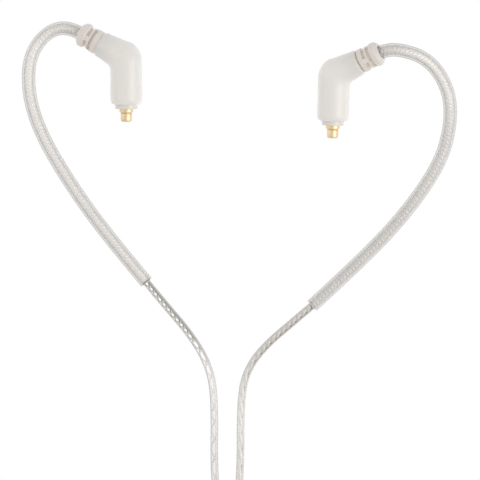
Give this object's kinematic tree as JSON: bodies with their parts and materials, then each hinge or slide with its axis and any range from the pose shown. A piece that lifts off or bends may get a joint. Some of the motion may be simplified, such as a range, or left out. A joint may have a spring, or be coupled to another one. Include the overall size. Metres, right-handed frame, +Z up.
{
  "type": "in-ear monitor cable set",
  "caption": "Detachable cable set for in-ear monitors: elbow connectors with gold coaxial plugs, clear ear-hook sleeves, thin clear leads, slider, Y-split and angled plug.",
  "frame": {"origin": "on the table, under the middle of the two ear hooks' box", "axes": "+X from the left connector to the right one, +Y from the leads towards the connectors, +Z up from the table that the set lies on"},
  "size_m": [0.0967, 0.1786, 0.0106],
  "materials": {
    "housing_plastic": "frosted translucent off-white",
    "collar_plastic": "satin",
    "gold_plate": "polished gold plating",
    "insulator_white": "waxy",
    "insulator_black": "satin",
    "inner_mould_plastic": "satin",
    "relief_rubber": "satin beige-grey",
    "clear_tube": "clear, glossy",
    "clear_cable": "clear jacket over twisted silver conductors",
    "bare_wire": "tinned copper",
    "strap": "woven strap"
  },
  "bodies": {
    "cable_set": {"jack_housing": "housing_plastic", "jack_inner_mould": "inner_mould_plastic", "jack_insulators": "insulator_black", "jack_relief": "relief_rubber", "jack_ring": "gold_plate", "jack_sleeve": "gold_plate", "jack_tip": "gold_plate", "lead_coil": "clear_cable", "lead_coil_tie": "strap", "left_centre_pin": "gold_plate", "left_collar_ring": "collar_plastic", "left_ear_hook_tube": "clear_tube", "left_elbow_housing": "housing_plastic", "left_ground_wire": "bare_wire", "left_hook_cable": "clear_cable", "left_inner_mould": "inner_mould_plastic", "left_lead": "clear_cable", "left_lead_tail": "clear_cable", "left_plug_insulator": "insulator_white", "left_plug_shell": "gold_plate", "left_signal_wire": "bare_wire", "left_snap_ring": "gold_plate", "left_strain_relief": "relief_rubber", "main_coil": "clear_cable", "main_coil_tie": "strap", "main_cord": "clear_cable", "main_cord_tail": "clear_cable", "right_centre_pin": "gold_plate", "right_collar_ring": "collar_plastic", "right_ear_hook_tube": "clear_tube", "right_elbow_housing": "housing_plastic", "right_ground_wire": "bare_wire", "right_hook_cable": "clear_cable", "right_inner_mould": "inner_mould_plastic", "right_lead": "clear_cable", "right_lead_tail": "clear_cable", "right_plug_insulator": "insulator_white", "right_plug_shell": "gold_plate", "right_signal_wire": "bare_wire", "right_snap_ring": "gold_plate", "right_strain_relief": "relief_rubber", "y_split_core": "inner_mould_plastic", "y_split_housing": "housing_plastic", "y_split_relief": "relief_rubber"},
    "slider": {"chin_slider": "housing_plastic"}
  },
  "joints": [
    {"name": "slider_slide", "type": "slide", "parent": "cable_set", "child": "slider", "axis": [0, 1, 0], "range_m": [-0.0055, 0.0055]}
  ]
}
